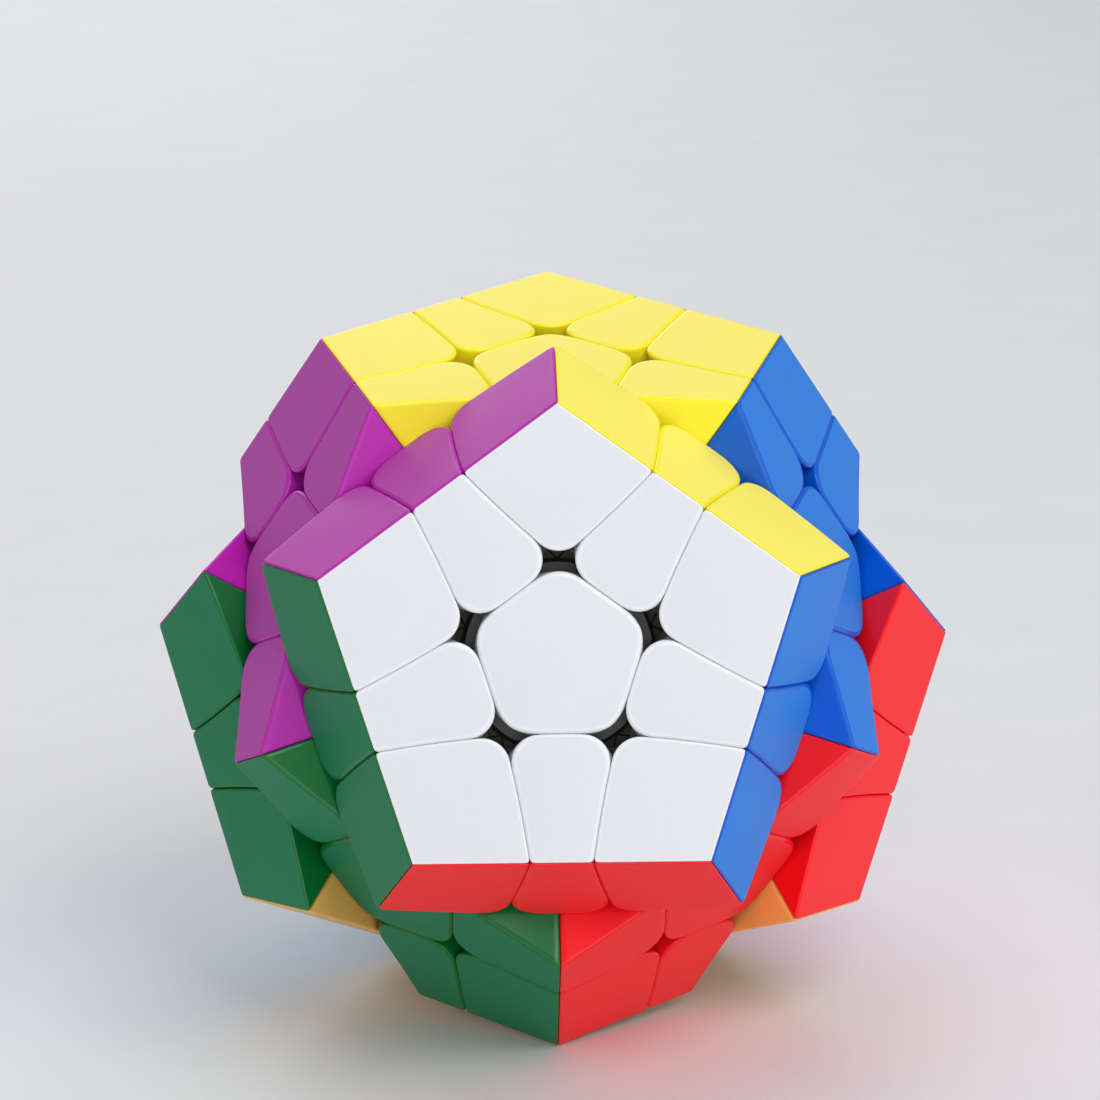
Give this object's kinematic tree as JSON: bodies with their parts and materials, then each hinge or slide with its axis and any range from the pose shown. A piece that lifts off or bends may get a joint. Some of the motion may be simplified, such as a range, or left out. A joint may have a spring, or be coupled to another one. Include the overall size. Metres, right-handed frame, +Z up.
{
  "type": "dodecahedron twisty puzzle",
  "caption": "Twelve-coloured dodecahedron puzzle whose face layers turn about a ball core, shown with its front, left and right layers half turned.",
  "frame": {"origin": "on the table, under the middle of the puzzle's bounding box, with the puzzle standing on its front fixed corner and on one side edge of each turned side layer", "axes": "+Z up, +X to the viewer's right along the longest extent, -Y towards the viewer, who looks at the white face"},
  "size_m": [0.0874, 0.0802, 0.079],
  "materials": {
    "yellow": "fine satin on the faces, glossy on the sliding walls",
    "white": "fine satin on the faces, glossy on the sliding walls",
    "blue": "fine satin on the faces, glossy on the sliding walls",
    "light_green": "fine satin on the faces, glossy on the sliding walls",
    "orange": "fine satin on the faces, glossy on the sliding walls",
    "purple": "fine satin on the faces, glossy on the sliding walls",
    "beige": "fine satin on the faces, glossy on the sliding walls",
    "grey": "fine satin on the faces, glossy on the sliding walls",
    "light_blue": "fine satin on the faces, glossy on the sliding walls",
    "green": "fine satin on the faces, glossy on the sliding walls",
    "red": "fine satin on the faces, glossy on the sliding walls",
    "pink": "fine satin on the faces, glossy on the sliding walls",
    "foot_plastic": "moulded dark nylon, lightly greased",
    "core_plastic": "moulded natural nylon",
    "steel": "zinc-plated steel"
  },
  "bodies": {
    "core_and_fixed_pieces": {"yellow_cap": "yellow", "blue_cap": "blue", "light_green_cap": "light_green", "orange_cap": "orange", "purple_cap": "purple", "beige_cap": "beige", "grey_cap": "grey", "green_cap": "green", "red_cap": "red", "yellow_shells": "yellow", "blue_shells": "blue", "light_green_shells": "light_green", "orange_shells": "orange", "purple_shells": "purple", "beige_shells": "beige", "grey_shells": "grey", "green_shells": "green", "red_shells": "red", "core": "core_plastic", "screws": "steel", "washers": "steel", "springs": "steel", "fixed_centres": "foot_plastic", "fixed_edge_feet": "foot_plastic", "fixed_corner_feet": "foot_plastic"},
    "white_layer": {"white_cap": "white", "white_layer_edge_shells": "white", "white_layer_corner_shells": "white", "white_layer_yellow_strip": "yellow", "white_layer_blue_strip": "blue", "white_layer_red_strip": "red", "white_layer_green_strip": "green", "white_layer_purple_strip": "purple", "white_centre": "foot_plastic", "white_layer_edge_feet": "foot_plastic", "white_layer_corner_feet": "foot_plastic"},
    "light_blue_layer": {"light_blue_cap": "light_blue", "light_blue_layer_edge_shells": "light_blue", "light_blue_layer_corner_shells": "light_blue", "light_blue_layer_purple_strip": "purple", "light_blue_layer_green_strip": "green", "light_blue_layer_beige_strip": "beige", "light_blue_layer_grey_strip": "grey", "light_blue_layer_orange_strip": "orange", "light_blue_centre": "foot_plastic", "light_blue_layer_edge_feet": "foot_plastic", "light_blue_layer_corner_feet": "foot_plastic"},
    "pink_layer": {"pink_cap": "pink", "pink_layer_edge_shells": "pink", "pink_layer_corner_shells": "pink", "pink_layer_blue_strip": "blue", "pink_layer_light_green_strip": "light_green", "pink_layer_grey_strip": "grey", "pink_layer_beige_strip": "beige", "pink_layer_red_strip": "red", "pink_centre": "foot_plastic", "pink_layer_edge_feet": "foot_plastic", "pink_layer_corner_feet": "foot_plastic"}
  },
  "joints": [
    {"name": "white_layer_turn", "type": "hinge", "parent": "core_and_fixed_pieces", "child": "white_layer", "pos_m": [-0.00012, -0.00065, 0.03949], "axis": [0.0103, -0.9645, 0.2639], "continuous": true},
    {"name": "light_blue_layer_turn", "type": "hinge", "parent": "core_and_fixed_pieces", "child": "light_blue_layer", "pos_m": [-0.00012, -0.00065, 0.03949], "axis": [-0.8623, 0.3559, -0.3602], "continuous": true},
    {"name": "pink_layer_turn", "type": "hinge", "parent": "core_and_fixed_pieces", "child": "pink_layer", "pos_m": [-0.00012, -0.00065, 0.03949], "axis": [0.8383, 0.3607, -0.4089], "continuous": true}
  ]
}
